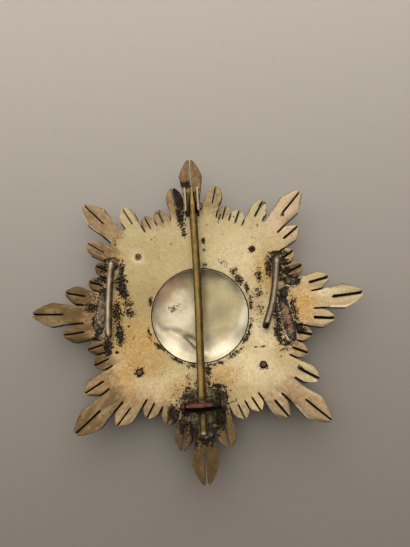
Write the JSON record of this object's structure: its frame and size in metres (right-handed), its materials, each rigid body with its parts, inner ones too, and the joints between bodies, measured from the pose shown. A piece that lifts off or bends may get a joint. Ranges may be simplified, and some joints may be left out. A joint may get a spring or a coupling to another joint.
{
  "type": "breast star",
  "caption": "Gilt breast star seen from the back, with a long hinged pin, its catch, and two side hooks.",
  "frame": {"origin": "middle of the star, on the surface that it lies on face down", "axes": "+Z away from that surface, out of the star's back; +Y from the hinge to the catch, towards the top ray; +X to the right seen from the back"},
  "size_m": [0.085, 0.085, 0.0102],
  "materials": {
    "gilt_plate": "worn fire gilding over silver, darkened by tarnish",
    "polished_dish": "polished gilt dish with thin tarnish",
    "front_gilt": "satin gilt",
    "rivet_metal": "dull brown, tarnished",
    "hinge_metal": "reddish, worn",
    "pin_metal": "worn gilt wire, polished by use"
  },
  "bodies": {
    "star": {"star_plate": "gilt_plate", "centre_dish": "polished_dish", "front_badge": "front_gilt", "rivet_top_left": "rivet_metal", "rivet_top_right": "rivet_metal", "rivet_bottom_left": "rivet_metal", "rivet_bottom_right": "rivet_metal", "hinge_rod": "hinge_metal"},
    "pin": {"brooch_pin": "pin_metal"}
  },
  "joints": [
    {"name": "pin_hinge", "type": "hinge", "parent": "star", "child": "pin", "pos_m": [0, -0.0251, 0.00875], "axis": [1, 0, 0], "range_deg": [0, 120]}
  ]
}
